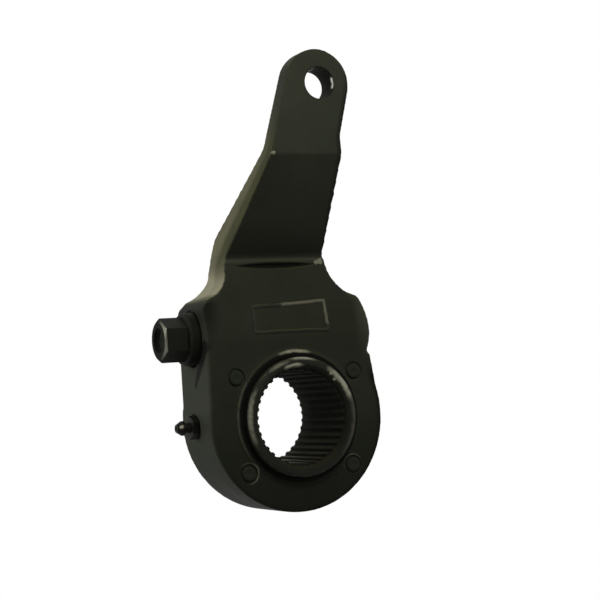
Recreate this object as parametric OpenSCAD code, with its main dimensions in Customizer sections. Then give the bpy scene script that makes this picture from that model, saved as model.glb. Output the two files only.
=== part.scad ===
// Manual slack adjuster of an S-cam drum brake.
// A forged lever holds a worm wheel that is splined to the brake camshaft. A worm with a
// hexagon end turns the wheel inside the lever, which takes up the wear of the linings.
// Origin: middle of the camshaft bore. Y runs along the bore, Z up the arm, X along the worm.

/* [Camshaft hub] */
// Wall of the hub outside the tips of the spline teeth
hub_wall = 5.45; // [4.9:0.05:6.1]
// Depth of the spline grooves
spline_depth = 0.9; // [0.7:0.1:1.2]
// Number of spline grooves
spline_teeth = 37; // [28:1:40]
// Length of the plain lead-in at each end of the bore
lead_in_len = 2.4; // [2:0.2:5]
// Chamfer at the mouth of the bore
mouth_chamfer = 1.2; // [0.8:0.1:1.6]
// Length of the hub
hub_len = 44; // [40:0.5:48]

/* [Worm and wheel] */
// Number of teeth on the wheel
wheel_teeth = 28; // [24:1:32]
// Pitch radius of the worm
worm_pitch_r = 8.6; // [7.8:0.1:9.4]
// Pressure angle of the teeth
tooth_angle = 20; // [18:0.5:22]
// Width of the thrust washers round the hub
washer_w = 3.9; // [3.5:0.1:4.4]
// Width of the toothed ring
wheel_w = 18; // [15:0.5:20]
// Length of the worm thread
worm_len = 18; // [14:0.5:20]
// Play between the flanks at the pitch line, for each flank
flank_play = 0.22; // [0.18:0.01:0.28]

/* [Forged body] */
// Wall of the round big end outside the cover
rim_wall = 3.4; // [3:0.1:5]
// Distance of the front face from the origin
face_front = 17; // [15.4:0.1:19]
// Wall between the worm chamber and the gasket
back_wall = 0.5; // [0.4:0.1:2]
// How far the left side lies inside the round
inset_left = 0.6; // [0.4:0.1:2]
// How far the end of the worm boss lies inside the round
inset_right = 3; // [2:0.1:4]
// Height of the shoulders above the worm axis
shoulder_up = 15; // [13.6:0.1:17]
// Height where the front face starts to lean back
lean_z = 33; // [30:0.5:36]
// Width of the raised lip round the hub
lip_w = 2.5; // [2:0.1:3]
// Height of the raised lip round the hub
lip_h = 1.1; // [0.6:0.1:1.6]
// Size of the rounded edges of the big end
edge_r = 2.2; // [1.5:0.1:2.4]

/* [Arm] */
// Height of the lower bend of the arm
bend_low_z = 66.3; // [60:0.1:74]
// Length of the upper strap from the upper bend to the eye
strap_len = 28.6; // [26:0.1:32]
// Set-back of the neck from the front face
neck_back = 7; // [6:0.1:8]
// How far the arm is cranked forward of the neck
crank = 34; // [30:0.5:38]
// Width of the arm at the lower bend
width_low = 44.8; // [43:0.1:46]
// Width of the arm at the upper bend
width_high = 31.8; // [30.4:0.1:33]
// Sideways place of the arm at the lower bend
arm_low_x = -3; // [-4:0.1:-2.4]
// Sideways place of the arm at the upper bend
arm_high_x = -1.6; // [-2.5:0.1:-1]
// Straight part of the neck above its left fillet
straight_left = 4.8; // [4:0.1:6]
// Straight part of the neck above its right fillet
straight_right = 1.8; // [1:0.1:4]
// Thickness of the neck
neck_t = 16; // [14:0.1:18]
// Thickness of the upper strap
strap_t = 9; // [8:0.1:11]
// Height of the clevis eye above the camshaft axis
eye_z = 132.8; // [120:0.1:148]
// Sideways place of the clevis eye
eye_x = 5.9; // [4:0.1:7]
// Outer radius of the clevis eye
eye_r = 13.8; // [12.6:0.1:15.4]
// Thickness of the eye with its back boss
eye_t = 11.4; // [10.6:0.1:14]
// Radius of the clevis pin hole
pin_r = 6.4; // [5.8:0.05:7.2]
// Wall of the clevis bush
bush_wall = 2.2; // [1.6:0.1:2.6]

/* [Adjuster] */
// Size of the hexagon across its flats
hex_af = 15.8; // [14.3:0.1:17.4]
// Length of the hexagon outside the sleeve
hex_out = 10.1; // [8:0.1:13]
// Length of the locking sleeve that stands out of the body
sleeve_out = 4.2; // [3.6:0.1:5]
// Travel of the locking sleeve
sleeve_travel = 3; // [2:0.1:3.4]
// Radius of the chamber of the locking sleeve
sleeve_bore_r = 11.8; // [10.8:0.05:13]
// Radius of the shaft at its left journal
journal_r = 6; // [5.4:0.05:6.6]
// Radius of the shaft inside the worm
seat_r = 4.6; // [4.2:0.05:5.1]
// Radius of the drive pin of the worm
drive_pin_r = 1.25; // [1:0.05:1.5]

/* [Cover and rivets] */
// Rim of the back cover outside the rivet circle
cover_rim = 3.6; // [3.4:0.1:5]
// Thickness of the back cover
cover_t = 2.6; // [2.4:0.1:3.4]
// Thickness of the gasket
gasket_t = 0.4; // [0.3:0.05:0.5]
// Radius of the rivet circle, which sets the wheel inside it and the cover and rim outside it
rivet_circle_r = 31.8; // [28.6:0.1:35.6]
// Wall between the rivets and the wheel
rivet_web = 1.15; // [1:0.05:2]
// Radius of the rivet shanks
rivet_r = 2.2; // [2:0.05:2.5]
// Radius of the rivet heads
rivet_head_r = 3.1; // [2.8:0.1:3.4]
// Angle of the upper rivets above the horizontal
rivet_up = 33; // [30:0.5:36]
// Angle of the lower rivets below the horizontal
rivet_down = 42; // [36:0.5:48]

/* [Grease nipple] */
// Height of the nipple axis
nipple_z = -1.5; // [-4:0.5:2]
// Radius of the nipple thread
nipple_r = 4; // [3.8:0.05:4.2]
// Size of the nipple hexagon across its flats
nipple_af = 8.5; // [8.4:0.1:9]
// Radius of the nipple head
nipple_head_r = 3; // [2.8:0.05:3.3]
// Length of the nipple outside the body
nipple_out = 9; // [8.5:0.1:11]
// Travel of the nipple ball
ball_travel = 1.2; // [0.8:0.1:1.4]

/* [Hidden] */
$fn = 64;
over = 1;
run_gap = 0.05;
side_gap = 0.1;
rim_gap = 0.35;
root_factor = 1.2;

// Teeth of the largest wheel that fits inside the rivets, its hub, and the worm beside it
pocket_r = rivet_circle_r - rivet_r - rivet_web;
hub_bore_r = pocket_r - washer_w;
hub_r = hub_bore_r - run_gap;
spline_minor_r = hub_r - hub_wall;
wheel_rim_r = pocket_r - rim_gap;
wheel_tip_r = wheel_rim_r - rim_gap;
tooth_module = wheel_tip_r / (wheel_teeth / 2 + 1);
wheel_pitch_r = tooth_module * wheel_teeth / 2;
wheel_base_r = wheel_pitch_r * cos(tooth_angle);
wheel_root_r = wheel_pitch_r - root_factor * tooth_module;
worm_z = wheel_pitch_r + worm_pitch_r;
worm_tip_r = worm_pitch_r + tooth_module;
worm_root_r = worm_pitch_r - root_factor * tooth_module;
worm_lead = PI * tooth_module;
lead_angle = atan(worm_lead / (2 * PI * worm_pitch_r));
throat_r = worm_z - wheel_tip_r;
chamber_gap = 0.45;
chamber_r = worm_tip_r + chamber_gap;

// Outside of the big end, from the rivet circle and the worm
cover_r = rivet_circle_r + cover_rim;
body_r = cover_r + rim_wall;
gasket_y = chamber_r + back_wall;
cover_y = gasket_y + gasket_t;
face_back = cover_y + cover_t;
side_left = body_r - inset_left;
side_right = body_r - inset_right;
shoulder_z = worm_z + shoulder_up;
lip_r = hub_r + lip_w;
lip_slope = 0.8;

// Room for the wheel between the front wall and the cover
washer_t = 1.4;
pocket_y = wheel_w / 2 + side_gap + washer_t;
rear_washer_t = cover_y - wheel_w / 2 - side_gap;
seal_wire_r = 0.8;
seal_r = hub_r + seal_wire_r + side_gap;
seal_groove_r = seal_r + seal_wire_r + run_gap;
seal_wall = 3;
tooth_edge = (wheel_rim_r - hub_r) / 4;
front_seal_y = seal_wall - face_front;
rear_seal_y = cover_y + cover_t / 2;
lead_in_r = spline_minor_r + spline_depth + side_gap;
bore_mouth_r = lead_in_r + mouth_chamfer;
hub_edge = (hub_r - bore_mouth_r) / 2;
hub_round = hub_edge * (1 - sqrt(0.5));

// Places along the worm axis
collar_len = 5;
collar_step = 1;
collar_r = worm_root_r + collar_step;
worm_left = -worm_len / 2;
worm_right = worm_len / 2 + collar_len;
worm_washer_t = 1;
chamber_left = worm_left - side_gap - worm_washer_t;
chamber_right = worm_right + side_gap + worm_washer_t;
pin_x = worm_right - collar_len / 2;
sleeve_len = 10;
sleeve_face = -side_left - sleeve_out;
hex_end = hex_out - sleeve_face;
sleeve_tail = sleeve_face + sleeve_len;
spring_block = 4.9;
seat_x = sleeve_tail + sleeve_travel + spring_block;
seat_t = 1;
sleeve_floor = seat_x + seat_t;
sleeve_fit = 0.15;
sleeve_flange_r = sleeve_bore_r - sleeve_fit;
circlip_t = 1;
circlip_in = 0.8;
circlip_x = -side_left + circlip_in;
circlip_groove = 0.6;
nose_step = 0.95;
sleeve_nose_r = sleeve_bore_r - nose_step;
sleeve_play = 0.12;
hex_free = 2;
hex_start = seat_x - hex_free;
bush_t = 2;
bush_outer_left = journal_r + bush_t;
shaft_seal_r = (bush_t - run_gap) / 2;
seal_land = 1;
bush_left_end = sleeve_floor + 2 * shaft_seal_r + seal_land;
bush_outer_right = seat_r + bush_t;
plug_t = 2.4;
plug_sink = 1.2;
plug_step = 1;
plug_room = 5.2;
plug_x = side_right - plug_t - plug_sink;
shaft_right = plug_x - plug_room;
plug_r = bush_outer_right + plug_step;

// Places along the grease nipple
nipple_tip = -side_left - nipple_out;
nipple_in = 6;
nipple_tail = -side_left + nipple_in;
ball_r = nipple_head_r * 0.4;
ball_mouth_r = ball_r * 0.72;
mouth_len = 0.9;
ball_seat = nipple_tip + mouth_len;
ball_x = ball_seat + sqrt(pow(ball_r, 2) - pow(ball_mouth_r, 2)) + run_gap;
nipple_spring_room = 4;
nipple_spring_end = ball_x + ball_r + ball_travel + nipple_spring_room;
nipple_face_rim = 0.7;
nipple_face_r = nipple_af / sqrt(3) + nipple_face_rim;

// Rivet heads, sunk a little into the front
head_h = 1.3;
head_sink = 0.5;
spot_rim = 0.8;
spot_r = rivet_head_r + spot_rim;

// Arm, front faces and thicknesses
bend_high_z = eye_z - strap_len;
fillet_left = bend_low_z - shoulder_z - straight_left;
fillet_right = bend_low_z - shoulder_z - straight_right;
neck_y = -face_front + neck_back;
strap_y = neck_y - crank;
bush_r = pin_r + bush_wall;
eye_step = 2.4;
eye_boss_r = eye_r - eye_step;
eye_off = 0.6;
low_left = [arm_low_x - width_low / 2, bend_low_z];
low_right = [arm_low_x + width_low / 2, bend_low_z];
high_left = [arm_high_x - width_high / 2, bend_high_z];
high_right = [arm_high_x + width_high / 2, bend_high_z];
waist_up = 7;
waist_in_left = 1.8;
waist_in_right = 0.5;
waist_left = high_left + [waist_in_left, waist_up];
waist_right = high_right + [-waist_in_right, waist_up];
neck_out_left = 1.2;
neck_out_right = 0.8;
neck_left = low_left[0] - neck_out_left;
neck_right = low_right[0] + neck_out_right;
lean_angle = atan(neck_back / (bend_low_z - lean_z));

// Back of the arm, from the strap down to the big end
neck_end = neck_y + neck_t;
elbow_run = 10.4;
elbow_drop = 5.4;
elbow_in = 1.6;
elbow_rise = 9.4;
strap_foot = 3.2;
neck_head = 3;
neck_foot = 9;
back_drop = 2;
elbow_high = [strap_y + strap_t + elbow_run, bend_high_z - elbow_drop];
elbow_low = [neck_end - elbow_in, bend_low_z + elbow_rise];

// Points where the sides leave the round big end
boss_half = 6;
boss_in = 1.3;
boss_drop = 2.5;
corner_drop = 3.4;
corner_in = 3;
boss_top = 6;
boss_top_in = 3.4;
boss_low = [side_right - boss_in, worm_z - boss_half - boss_drop];
corner_left = [-side_left, shoulder_z - corner_drop];
top_left = corner_in - side_left;
top_right = side_right - boss_top_in;
rim_turn_left = acos(side_left / body_r);
rim_turn_right = 16;
rim_right = body_r * [cos(rim_turn_right), sin(rim_turn_right)];
side_low = rim_right + 0.2 * (rim_right - boss_low);

// Groove under the lower bend
groove_half = 17.3;
groove_depth = 0.9;
groove_drop = 3.4;

// Turn a flat drawing in X and Z into a slab between two depths
module slab(y0, y1) {
    translate([0, y1, 0])
        rotate([90, 0, 0])
            linear_extrude(y1 - y0)
                children();
}

// Turn a flat drawing in Y and Z into a bar between two places along X
module bar(x0, x1) {
    translate([x0, 0, 0])
        rotate([90, 0, 90])
            linear_extrude(x1 - x0)
                children();
}

// Round rod along Y at a place in X and Z
module rod_y(r, y0, y1, x = 0, z = 0) {
    translate([x, y0, z])
        rotate([-90, 0, 0])
            cylinder(r = r, h = y1 - y0);
}

// Round rod along X at a height Z
module rod_x(r, x0, x1, z = worm_z, fn = $fn) {
    translate([x0, 0, z])
        rotate([0, 90, 0])
            cylinder(r = r, h = x1 - x0, $fn = fn);
}

// Turned piece round the Y axis, from a drawing of radius against depth
module turned_y() {
    rotate([-90, 0, 0])
        rotate_extrude()
            children();
}

// Turned piece round a line along X, from a drawing of radius against length
module turned_x(z = worm_z) {
    translate([0, 0, z])
        rotate([0, 90, 0])
            rotate_extrude()
                children();
}

// Ring drawn as a rectangle of radius against length
module ring(r0, r1, a0, a1) {
    translate([r0, a0])
        square([r1 - r0, a1 - a0]);
}

// Puts one copy of a piece at each rivet
module at_rivets() {
    for (a = [rivet_up, 180 - rivet_up, 180 + rivet_down, 360 - rivet_down])
        translate([rivet_circle_r * cos(a), 0, rivet_circle_r * sin(a)])
            children();
}

// Hexagon rod along X with a corner towards the front
module hex_x(af, x0, x1, z) {
    rod_x(af / sqrt(3), x0, x1, z, 6);
}

// Coil of round wire along X
module coil(r, wire_r, x0, x1, turns, z) {
    steps = 18;
    sides = 6;
    count = round(turns * steps);
    rise = (x1 - x0 - 2 * wire_r) / count;
    points = [for (i = [0 : count]) for (k = [0 : sides - 1])
        let (a = 360 * i / steps, b = 360 * k / sides, rr = r + wire_r * cos(b))
            [x0 + wire_r + i * rise + wire_r * sin(b), rr * sin(a), z + rr * cos(a)]];
    skin = [for (i = [0 : count - 1]) for (k = [0 : sides - 1])
        let (n = (k + 1) % sides)
            [i * sides + k, i * sides + n, (i + 1) * sides + n, (i + 1) * sides + k]];
    ends = [[for (k = [sides - 1 : -1 : 0]) k], [for (k = [0 : sides - 1]) count * sides + k]];
    polyhedron(points, concat(skin, ends), convexity = 10);
}

// Point where a line from p touches a circle, on the side given by 1 or -1
function touch(p, c, r, side) =
    let (d = norm(c - p), a = atan2(p[1] - c[1], p[0] - c[0]) + side * acos(r / d))
        c + r * [cos(a), sin(a)];

// Outline of the forging seen from the front
module front_outline() {
    eye = [eye_x - eye_off, eye_z];
    circle(r = body_r);
    polygon([[-side_left, 0], side_low, boss_low, [side_right, worm_z - boss_half],
             [side_right, shoulder_z - boss_top], [top_right, shoulder_z], [top_left, shoulder_z],
             corner_left]);
    difference() {
        translate([top_left, shoulder_z - over])
            square([neck_left + over - top_left, fillet_left + over]);
        translate([neck_left - fillet_left, shoulder_z + fillet_left])
            circle(r = fillet_left);
    }
    difference() {
        translate([neck_right - over, shoulder_z - over])
            square([top_right - neck_right + over, fillet_right + over]);
        translate([neck_right + fillet_right, shoulder_z + fillet_right])
            circle(r = fillet_right);
    }
    polygon([[neck_left, shoulder_z - over], [neck_left, shoulder_z + fillet_left], low_left,
             high_left, waist_left, touch(waist_left, eye, eye_r, -1),
             touch(waist_right, eye, eye_r, 1), waist_right, high_right, low_right,
             [neck_right, shoulder_z + fillet_right], [neck_right, shoulder_z - over]]);
    translate(eye)
        circle(r = eye_r);
}

// Outline of the forging seen from the side, with the lean, the neck and the crank
module side_outline() {
    low = -body_r - over;
    top = eye_z + eye_r + over;
    polygon([[-face_front, low], [-face_front, lean_z], [neck_y, bend_low_z],
             [strap_y, bend_high_z], [strap_y, top], [strap_y + strap_t, top],
             [strap_y + strap_t, bend_high_z + strap_foot], elbow_high, elbow_low,
             [neck_end, bend_low_z + neck_head], [neck_end, shoulder_z + neck_foot],
             [face_back, shoulder_z - back_drop], [face_back, low]]);
}

// Bare frame for a stamped plate, standing on the leaning part of the front face
module plate_frame() {
    plate_w = 33;
    plate_h = 11.6;
    rib = 1;
    rise = 0.6;
    start = 2.2;
    translate([0, -face_front, lean_z])
        rotate([-lean_angle, 0, 0])
            difference() {
                translate([-plate_w / 2, -rise, start])
                    cube([plate_w, rise + over, plate_h]);
                translate([-plate_w / 2 + rib, -rise - over, start + rib])
                    cube([plate_w - 2 * rib, rise + 3 * over, plate_h - 2 * rib]);
            }
}

// Section of the metal taken off one edge, with the edge at the origin
module edge_cut() {
    middle = edge_r * (1 - sqrt(0.5));
    far = edge_r + over * (edge_r - middle) / middle;
    polygon([[-far, over], [-middle, -middle], [over, -far], [over, over]]);
}

// The same section at the front and the back of the big end
module edge_cuts() {
    translate([0, face_back])
        edge_cut();
    translate([0, -face_front])
        mirror([0, 1])
            edge_cut();
}

// Takes the edges off along a straight side that runs from p to q in X and Z
module edge_bar(p, q) {
    translate([p[0], 0, p[1]])
        rotate([0, atan2(q[0] - p[0], q[1] - p[1]), 0])
            linear_extrude(norm(q - p))
                edge_cuts();
}

// Rounded edges of the big end, below the shoulders
module rim_edges() {
    rotate([-90, 0, 0])
        rotate([0, 0, -rim_turn_right])
            rotate_extrude(angle = 180 + rim_turn_right + rim_turn_left)
                translate([body_r, 0])
                    edge_cuts();
    edge_bar(side_low, boss_low);
    edge_bar(corner_left, [-side_left, body_r * sin(rim_turn_left) - over]);
}

// Shallow groove under the lower bend, deepest in its middle
module bend_groove() {
    big_r = (pow(groove_half, 2) + pow(groove_depth, 2)) / (2 * groove_depth);
    wedge = 4;
    face_y = neck_y - groove_drop * tan(lean_angle);
    translate([arm_low_x, face_y + groove_depth - big_r, bend_low_z - groove_drop])
        rotate_extrude($fn = 360)
            polygon([[big_r - wedge, -wedge], [big_r, 0], [big_r - wedge, wedge]]);
}

// Solid of the forging before it is machined
module forging() {
    intersection() {
        slab(strap_y - over, face_back + over) front_outline();
        bar(-body_r - over, body_r + over) side_outline();
    }
    rod_y(eye_boss_r, strap_y + strap_t - over, strap_y + eye_t, eye_x, eye_z);
    plate_frame();
    turned_y() polygon([[hub_r - over, -face_front + over], [lip_r + lip_slope, -face_front + over],
                        [lip_r + lip_slope, -face_front], [lip_r, -face_front - lip_h],
                        [hub_r - over, -face_front - lip_h]]);
}

// Lever forged in one piece with the worm boss, bored for the wheel, worm, sleeve and eye
module body() {
    color([0.10, 0.11, 0.09])
        difference() {
            forging();
            rim_edges();
            bend_groove();
            rod_y(hub_bore_r, -face_front - lip_h - over, over);
            turned_y() ring(over, seal_groove_r, front_seal_y - seal_wire_r,
                            front_seal_y + seal_wire_r);
            rod_y(pocket_r, -pocket_y, face_back + over);
            rod_y(cover_r, gasket_y, face_back + over);
            rod_x(chamber_r, chamber_left, chamber_right);
            rod_x(bush_outer_left, sleeve_floor - over, chamber_left + over);
            rod_x(sleeve_bore_r, -side_left - over, sleeve_floor);
            rod_x(sleeve_bore_r + circlip_groove, circlip_x, circlip_x + circlip_t);
            rod_x(bush_outer_right, chamber_right - over, plug_x + over);
            rod_x(plug_r, plug_x, side_right + over);
            at_rivets() rod_y(rivet_r + run_gap, -face_front - over, gasket_y + over);
            at_rivets() rod_y(spot_r, -face_front - over, -face_front + head_sink);
            rod_y(bush_r, strap_y - over, strap_y + eye_t + over, eye_x, eye_z);
            rod_x(nipple_r, -side_left - over, -pocket_r + over, nipple_z);
            rod_x(nipple_face_r, -body_r - over, -side_left, nipple_z);
        }
}

// Hard bush pressed into the eye for the clevis pin
module clevis_bush() {
    color([0.45, 0.44, 0.40])
        difference() {
            rod_y(bush_r, strap_y, strap_y + eye_t, eye_x, eye_z);
            rod_y(pin_r, strap_y - over, strap_y + eye_t + over, eye_x, eye_z);
        }
}

// Rubber ring in the front wall, running on the hub
module front_seal() {
    color([0.06, 0.06, 0.06])
        turned_y() translate([seal_r, front_seal_y]) circle(r = seal_wire_r);
}

// Rubber ring in the cover, running on the hub
module rear_seal() {
    color([0.06, 0.06, 0.06])
        turned_y() translate([seal_r, rear_seal_y]) circle(r = seal_wire_r);
}

// Bronze washer between the front wall and the wheel
module front_thrust_washer() {
    color([0.62, 0.48, 0.24])
        turned_y() ring(hub_bore_r, pocket_r, -pocket_y, -pocket_y + washer_t);
}

// Bronze washer between the wheel and the cover
module rear_thrust_washer() {
    color([0.62, 0.48, 0.24])
        turned_y() ring(hub_bore_r, pocket_r, cover_y - rear_washer_t, cover_y);
}

// Gasket between the recess of the body and the cover
module cover_gasket() {
    color([0.30, 0.26, 0.18])
        difference() {
            turned_y() ring(pocket_r, cover_r, gasket_y, cover_y);
            at_rivets() rod_y(rivet_r + run_gap, gasket_y - over, cover_y + over);
        }
}

// Round cover that closes the back, grooved for its seal
module cover_plate() {
    color([0.11, 0.12, 0.10])
        difference() {
            turned_y() ring(hub_bore_r, cover_r, cover_y, face_back);
            turned_y() ring(hub_bore_r - over, seal_groove_r, rear_seal_y - seal_wire_r,
                            rear_seal_y + seal_wire_r);
            at_rivets() rod_y(rivet_r + run_gap, cover_y - over, face_back + over);
        }
}

// Four rivets that hold the cover, with low heads on both sides
module cover_rivets() {
    low = -face_front + head_sink;
    color([0.13, 0.14, 0.11])
        at_rivets()
            turned_y() polygon([
                [0, low - head_h], [rivet_head_r * 0.6, low - head_h * 0.9],
                [rivet_head_r, low - head_h * 0.3], [rivet_head_r, low],
                [rivet_r, low], [rivet_r, face_back], [rivet_head_r, face_back],
                [rivet_head_r, face_back + head_h * 0.3],
                [rivet_head_r * 0.6, face_back + head_h * 0.9], [0, face_back + head_h]]);
}

// Angle whose involute starts at the base circle, in degrees
function involute(r) =
    let (a = acos(wheel_base_r / r))
        tan(a) * 180 / PI - a;

// Half of the angle of a tooth space at a radius
function space_angle(r) =
    90 / wheel_teeth + flank_play / wheel_pitch_r * 90 / PI
        - involute(wheel_pitch_r) + involute(max(r, wheel_base_r));

// Space between two teeth of the wheel, seen along its axis
module tooth_space() {
    radii = [wheel_root_r, wheel_base_r, wheel_pitch_r, wheel_tip_r, wheel_rim_r + over];
    right = [for (r = radii) r * [sin(space_angle(r)), cos(space_angle(r))]];
    left = [for (i = [len(radii) - 1 : -1 : 0]) [-right[i][0], right[i][1]]];
    polygon(concat(right, left));
}

// Wheel with slanted teeth outside and a spline inside, in one piece with its long hub
module worm_wheel() {
    half = hub_len / 2;
    rim_half = wheel_w / 2;
    gash_end = 0.4;
    color([0.35, 0.34, 0.31])
        difference() {
            turned_y() polygon([
                [spline_minor_r, -half + lead_in_len], [lead_in_r, -half + lead_in_len],
                [lead_in_r, -half + mouth_chamfer], [bore_mouth_r, -half],
                [hub_r - hub_edge, -half], [hub_r - hub_round, -half + hub_round],
                [hub_r, -half + hub_edge], [hub_r, -rim_half],
                [wheel_rim_r - tooth_edge, -rim_half], [wheel_rim_r, -rim_half + tooth_edge],
                [wheel_rim_r, rim_half - tooth_edge], [wheel_rim_r - tooth_edge, rim_half],
                [hub_r, rim_half], [hub_r, half - hub_edge],
                [hub_r - hub_round, half - hub_round], [hub_r - hub_edge, half],
                [bore_mouth_r, half], [lead_in_r, half - mouth_chamfer],
                [lead_in_r, half - lead_in_len], [spline_minor_r, half - lead_in_len]]);
            turned_y() translate([worm_z, 0]) circle(r = throat_r);
            for (i = [0 : wheel_teeth - 1])
                rotate([0, 360 * i / wheel_teeth, 0])
                    rotate([0, 0, -lead_angle])
                        slab(-rim_half - gash_end, rim_half + gash_end) tooth_space();
            for (i = [0 : spline_teeth - 1])
                rotate([0, 360 * (i + 0.5) / spline_teeth, 0])
                    slab(-half, half) spline_groove();
        }
}

// One groove of the inner spline
module spline_groove() {
    pitch = 2 * PI * spline_minor_r / spline_teeth;
    polygon([[-pitch * 0.31, spline_minor_r - over], [pitch * 0.31, spline_minor_r - over],
             [pitch * 0.31, spline_minor_r], [pitch * 0.2, spline_minor_r + spline_depth],
             [-pitch * 0.2, spline_minor_r + spline_depth], [-pitch * 0.31, spline_minor_r]]);
}

// Height of the worm thread at a distance along the axis from its middle
function thread_r(s) =
    let (half = worm_lead / 4 - flank_play, r = worm_pitch_r + (half - abs(s)) / tan(tooth_angle))
        min(worm_tip_r, max(worm_root_r, r));

// Cross-section of the one-start worm
module worm_section() {
    steps = 28;
    polygon([for (i = [0 : steps - 1])
        let (a = 360 * i / steps - 180, r = thread_r(worm_lead * a / 360))
            r * [cos(a), sin(a)]]);
}

// Worm with a plain collar, held on its shaft by a pin
module worm() {
    turns = worm_len / worm_lead;
    color([0.48, 0.46, 0.42])
        difference() {
            union() {
                translate([worm_left, 0, worm_z])
                    rotate([0, 90, 0])
                        rotate([0, 0, -180 * turns])
                            linear_extrude(worm_len, twist = -360 * turns,
                                           slices = round(16 * turns), segments = 0)
                                worm_section();
                rod_x(collar_r, worm_len / 2 - over, worm_right);
            }
            rod_x(seat_r, worm_left - over, worm_right + over);
            rod_y(drive_pin_r, -collar_r - over, collar_r + over, pin_x, worm_z);
        }
}

// Shaft of the worm with the adjusting hexagon at its left end
module worm_shaft() {
    outer_r = hex_af / sqrt(3) + side_gap;
    dish_r = 5.2;
    dish = 2.4;
    color([0.33, 0.32, 0.29])
        difference() {
            union() {
                intersection() {
                    hex_x(hex_af, -hex_end, hex_start, worm_z);
                    turned_x() polygon([[0, -hex_end], [hex_af / 2 - 0.4, -hex_end],
                                        [outer_r, -hex_end + 1], [outer_r, hex_start + over],
                                        [0, hex_start + over]]);
                }
                rod_x(journal_r, hex_start - over, worm_left);
                rod_x(seat_r, worm_left - over, shaft_right);
            }
            turned_x() polygon([[0, -hex_end - over], [dish_r, -hex_end - over],
                                [dish_r, -hex_end], [dish_r - 1, -hex_end + dish * 0.9],
                                [0, -hex_end + dish]]);
            rod_y(drive_pin_r, -collar_r - over, collar_r + over, pin_x, worm_z);
        }
}

// Pin through the collar of the worm and the shaft
module drive_pin() {
    pin_sunk = 0.6;
    color([0.55, 0.54, 0.50])
        rod_y(drive_pin_r, -collar_r + pin_sunk, collar_r - pin_sunk, pin_x, worm_z);
}

// Washer between the left end of the worm and the body
module worm_washer_left() {
    color([0.62, 0.48, 0.24])
        turned_x() ring(journal_r + run_gap, collar_r, chamber_left, chamber_left + worm_washer_t);
}

// Washer between the collar of the worm and the body
module worm_washer_right() {
    color([0.62, 0.48, 0.24])
        turned_x() ring(seat_r + run_gap, collar_r, chamber_right - worm_washer_t, chamber_right);
}

// Bronze bush of the left journal
module shaft_bush_left() {
    color([0.58, 0.45, 0.22])
        turned_x() ring(journal_r + run_gap, bush_outer_left, bush_left_end, chamber_left);
}

// Bronze bush of the right journal
module shaft_bush_right() {
    color([0.58, 0.45, 0.22])
        turned_x() ring(seat_r + run_gap, bush_outer_right, chamber_right, shaft_right);
}

// Rubber ring that keeps the grease in at the left journal
module shaft_seal() {
    color([0.06, 0.06, 0.06])
        turned_x()
            translate([bush_outer_left - shaft_seal_r, bush_left_end - shaft_seal_r])
                circle(r = shaft_seal_r);
}

// Dished plug pressed into the right end of the worm bore
module end_plug() {
    color([0.20, 0.20, 0.17])
        turned_x() polygon([[0, plug_x + 0.9], [plug_r - 1.4, plug_x], [plug_r, plug_x],
                            [plug_r, plug_x + plug_t], [plug_r - 1.2, plug_x + plug_t],
                            [plug_r - 2, plug_x + 1.6], [0, plug_x + 2.3]]);
}

// Washer that the spring of the locking sleeve stands on
module spring_seat() {
    color([0.40, 0.39, 0.36])
        turned_x() ring(journal_r + rim_gap, sleeve_flange_r, seat_x, sleeve_floor);
}

// Spring that pushes the locking sleeve out
module lock_spring() {
    wire_r = 0.45;
    turns = 3.5;
    color([0.50, 0.49, 0.46])
        coil(sleeve_flange_r - wire_r - rim_gap, wire_r, sleeve_tail, seat_x, turns, worm_z);
}

// Sleeve that slides on the hexagon and is pushed in by the spanner
module lock_sleeve() {
    flange_x = circlip_x + circlip_t;
    color([0.16, 0.16, 0.13])
        difference() {
            turned_x() polygon([[over, sleeve_face], [sleeve_nose_r - 0.6, sleeve_face],
                                [sleeve_nose_r, sleeve_face + 0.6], [sleeve_nose_r, flange_x],
                                [sleeve_flange_r, flange_x], [sleeve_flange_r, sleeve_tail],
                                [over, sleeve_tail]]);
            hex_x(hex_af + 2 * sleeve_play, sleeve_face - over, sleeve_tail + over, worm_z);
        }
}

// Open spring ring that keeps the sleeve in the body
module sleeve_circlip() {
    gap_w = 4;
    outer_r = sleeve_bore_r + circlip_groove;
    color([0.30, 0.30, 0.28])
        difference() {
            turned_x() ring(sleeve_nose_r + sleeve_fit, outer_r, circlip_x, circlip_x + circlip_t);
            translate([circlip_x - over, -gap_w / 2, worm_z - outer_r - over])
                cube([circlip_t + 2 * over, gap_w, 3 * over]);
        }
}

// Ball-headed grease nipple screwed into the left side
module grease_nipple() {
    hex_len = 3.2;
    head = nipple_tip + 3.2;
    neck_r = nipple_head_r - 0.9;
    root_r = nipple_r - 0.2;
    color([0.42, 0.40, 0.34])
        difference() {
            union() {
                turned_x(nipple_z) polygon([
                    [0, nipple_tip], [nipple_head_r - 1.4, nipple_tip],
                    [nipple_head_r, head - 1], [nipple_head_r, head], [neck_r, head + 0.8],
                    [neck_r, -side_left - hex_len / 2], [root_r, -side_left - hex_len / 2],
                    [root_r, -side_left], [nipple_r, -side_left], [nipple_r, nipple_tail],
                    [0, nipple_tail]]);
                hex_x(nipple_af, -side_left - hex_len, -side_left, nipple_z);
            }
            rod_x(ball_r + run_gap, ball_seat, nipple_spring_end, nipple_z);
            rod_x(ball_mouth_r, nipple_tip - over, nipple_tail + over, nipple_z);
        }
}

// Ball that closes the nipple
module nipple_ball() {
    color([0.70, 0.70, 0.68])
        translate([ball_x, 0, nipple_z])
            sphere(r = ball_r);
}

// Spring behind the ball
module nipple_spring() {
    wire_r = 0.18;
    turns = 6;
    color([0.60, 0.60, 0.58])
        coil(ball_r - wire_r - run_gap, wire_r, ball_x + ball_r, nipple_spring_end, turns, nipple_z);
}

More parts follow.
